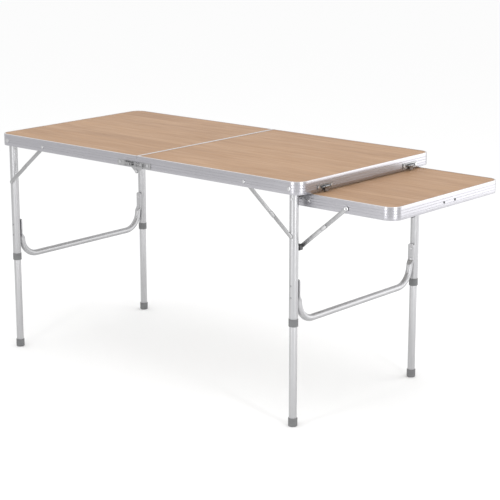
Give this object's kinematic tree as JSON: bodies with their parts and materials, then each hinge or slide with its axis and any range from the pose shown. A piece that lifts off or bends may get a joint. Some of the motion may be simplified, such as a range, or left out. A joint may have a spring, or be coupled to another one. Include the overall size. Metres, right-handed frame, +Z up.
{
  "type": "folding table",
  "caption": "Suitcase-style folding table with wood-grain panels in metal rims, telescopic legs with cross bars and jointed stays, and a drop leaf on folding stays at one end.",
  "frame": {"origin": "centre of the footprint of the whole table at floor level", "axes": "+X along the long side towards the leaf, +Y towards the back long side, +Z up"},
  "size_m": [1.4749, 0.6248, 0.69],
  "materials": {
    "laminate": "satin wood-grain laminate",
    "rail": "brushed anodised",
    "tube": "satin",
    "inner_tube": "satin",
    "grey_plastic": "matte",
    "black_plastic": "matte",
    "steel": "zinc plated",
    "rivet": "plated",
    "spring": "spring wire"
  },
  "bodies": {
    "left_half": {"left_rim": "rail", "left_board": "laminate", "left_seam_channel": "rail", "left_hinge_plates": "steel", "left_hinge_rivets": "rivet", "hinge_pins": "rivet", "seam_latch_base": "steel", "end_catches": "steel", "left_pivot_bolts": "rivet", "left_pivot_bushes": "black_plastic", "left_stay_pins": "rivet"},
    "right_half": {"right_rim": "rail", "right_board": "laminate", "right_seam_channel": "rail", "right_hinge_plates": "steel", "right_hinge_rivets": "rivet", "seam_latch_keeper": "steel", "end_latch_plates": "steel", "end_latch_pins": "rivet", "end_latch_springs": "spring", "right_pivot_bolts": "rivet", "right_pivot_bushes": "black_plastic", "right_stay_pins": "rivet"},
    "left_leg_frame": {"front_left_upper_leg": "tube", "back_left_upper_leg": "tube", "left_leg_plugs": "grey_plastic", "left_crossbar": "tube", "left_frame_rivets": "rivet"},
    "right_leg_frame": {"front_right_upper_leg": "tube", "back_right_upper_leg": "tube", "right_leg_plugs": "grey_plastic", "right_crossbar": "tube", "right_frame_rivets": "rivet", "leaf_pivot_bolts": "rivet", "leaf_stay_brackets": "black_plastic"},
    "left_upper_stays": {"left_upper_stays": "steel"},
    "left_lower_stays": {"left_lower_stays": "steel"},
    "right_upper_stays": {"right_upper_stays": "steel"},
    "right_lower_stays": {"right_lower_stays": "steel"},
    "leaf": {"leaf_rim": "rail", "leaf_board": "laminate", "leaf_inner_channel": "rail", "leaf_rivets": "rivet"},
    "leaf_upper_stays": {"leaf_upper_stays": "steel"},
    "leaf_lower_stays": {"leaf_lower_stays": "steel"},
    "seam_latch_lever": {"seam_latch_lever": "steel"},
    "front_end_hook": {"front_end_hook": "steel"},
    "back_end_hook": {"back_end_hook": "steel"},
    "front_left_lower_leg": {"front_left_lower_leg": "inner_tube", "front_left_foot": "grey_plastic"},
    "front_left_collar": {"front_left_collar": "grey_plastic"},
    "back_left_lower_leg": {"back_left_lower_leg": "inner_tube", "back_left_foot": "grey_plastic"},
    "back_left_collar": {"back_left_collar": "grey_plastic"},
    "front_right_lower_leg": {"front_right_lower_leg": "inner_tube", "front_right_foot": "grey_plastic"},
    "front_right_collar": {"front_right_collar": "grey_plastic"},
    "back_right_lower_leg": {"back_right_lower_leg": "inner_tube", "back_right_foot": "grey_plastic"},
    "back_right_collar": {"back_right_collar": "grey_plastic"}
  },
  "joints": [
    {"name": "panel_fold", "type": "hinge", "parent": "left_half", "child": "right_half", "pos_m": [-0.1345, 0, 0.646], "axis": [0, 1, 0], "range_deg": [0, 75]},
    {"name": "left_leg_fold", "type": "hinge", "parent": "left_half", "child": "left_leg_frame", "pos_m": [-0.6985, 0, 0.67], "axis": [0, -1, 0], "range_deg": [0, 90]},
    {"name": "right_leg_fold", "type": "hinge", "parent": "right_half", "child": "right_leg_frame", "pos_m": [0.4295, 0, 0.67], "axis": [0, 1, 0], "range_deg": [0, 90]},
    {"name": "left_upper_stay_turn", "type": "hinge", "parent": "left_half", "child": "left_upper_stays", "pos_m": [-0.5391, 0, 0.6685], "axis": [0, -1, 0], "range_deg": [-39.2, 0]},
    {"name": "left_lower_stay_turn", "type": "hinge", "parent": "left_leg_frame", "child": "left_lower_stays", "pos_m": [-0.6985, 0, 0.5375], "axis": [0, -1, 0], "range_deg": [0, 52]},
    {"name": "right_upper_stay_turn", "type": "hinge", "parent": "right_half", "child": "right_upper_stays", "pos_m": [0.2701, 0, 0.6685], "axis": [0, 1, 0], "range_deg": [-39.2, 0]},
    {"name": "right_lower_stay_turn", "type": "hinge", "parent": "right_leg_frame", "child": "right_lower_stays", "pos_m": [0.4295, 0, 0.5375], "axis": [0, 1, 0], "range_deg": [0, 52]},
    {"name": "leaf_fold", "type": "hinge", "parent": "right_leg_frame", "child": "leaf", "pos_m": [0.4295, 0, 0.64], "axis": [0, -1, 0], "range_deg": [-80, 0]},
    {"name": "leaf_upper_stay_turn", "type": "hinge", "parent": "leaf", "child": "leaf_upper_stays", "pos_m": [0.5815, 0, 0.629], "axis": [0, -1, 0], "range_deg": [-52.2, 0]},
    {"name": "leaf_lower_stay_turn", "type": "hinge", "parent": "right_leg_frame", "child": "leaf_lower_stays", "pos_m": [0.4315, 0, 0.504], "axis": [0, -1, 0], "range_deg": [0, 39]},
    {"name": "front_left_leg_slide", "type": "slide", "parent": "left_leg_frame", "child": "front_left_lower_leg", "axis": [0, 0, 1], "range_m": [0, 0.145]},
    {"name": "front_left_collar_twist", "type": "hinge", "parent": "left_leg_frame", "child": "front_left_collar", "pos_m": [-0.6985, -0.282, 0.297], "axis": [0, 0, 1], "range_deg": [0, 90]},
    {"name": "back_left_leg_slide", "type": "slide", "parent": "left_leg_frame", "child": "back_left_lower_leg", "axis": [0, 0, 1], "range_m": [0, 0.145]},
    {"name": "back_left_collar_twist", "type": "hinge", "parent": "left_leg_frame", "child": "back_left_collar", "pos_m": [-0.6985, 0.282, 0.297], "axis": [0, 0, 1], "range_deg": [0, 90]},
    {"name": "front_right_leg_slide", "type": "slide", "parent": "right_leg_frame", "child": "front_right_lower_leg", "axis": [0, 0, 1], "range_m": [0, 0.145]},
    {"name": "front_right_collar_twist", "type": "hinge", "parent": "right_leg_frame", "child": "front_right_collar", "pos_m": [0.4295, -0.282, 0.297], "axis": [0, 0, 1], "range_deg": [0, 90]},
    {"name": "back_right_leg_slide", "type": "slide", "parent": "right_leg_frame", "child": "back_right_lower_leg", "axis": [0, 0, 1], "range_m": [0, 0.145]},
    {"name": "back_right_collar_twist", "type": "hinge", "parent": "right_leg_frame", "child": "back_right_collar", "pos_m": [0.4295, 0.282, 0.297], "axis": [0, 0, 1], "range_deg": [0, 90]},
    {"name": "seam_latch_open", "type": "hinge", "parent": "left_half", "child": "seam_latch_lever", "pos_m": [-0.1765, -0.3105, 0.665], "axis": [0, 0, -1], "range_deg": [0, 110]},
    {"name": "front_end_hook_turn", "type": "hinge", "parent": "right_half", "child": "front_end_hook", "pos_m": [0.4715, -0.196, 0.666], "axis": [0, -1, 0], "range_deg": [0, 75], "stiffness_Nm_per_rad": 0.03},
    {"name": "back_end_hook_turn", "type": "hinge", "parent": "right_half", "child": "back_end_hook", "pos_m": [0.4715, 0.196, 0.666], "axis": [0, -1, 0], "range_deg": [0, 75], "stiffness_Nm_per_rad": 0.03}
  ],
  "couplings": [
    {"joint": "left_upper_stay_turn", "follows": "left_leg_fold", "ratio": -0.43449},
    {"joint": "left_lower_stay_turn", "follows": "left_leg_fold", "ratio": 0.57718},
    {"joint": "right_upper_stay_turn", "follows": "right_leg_fold", "ratio": -0.43449},
    {"joint": "right_lower_stay_turn", "follows": "right_leg_fold", "ratio": 0.57718},
    {"joint": "leaf_upper_stay_turn", "follows": "leaf_fold", "ratio": 0.65068},
    {"joint": "leaf_lower_stay_turn", "follows": "leaf_fold", "ratio": -0.48697}
  ]
}
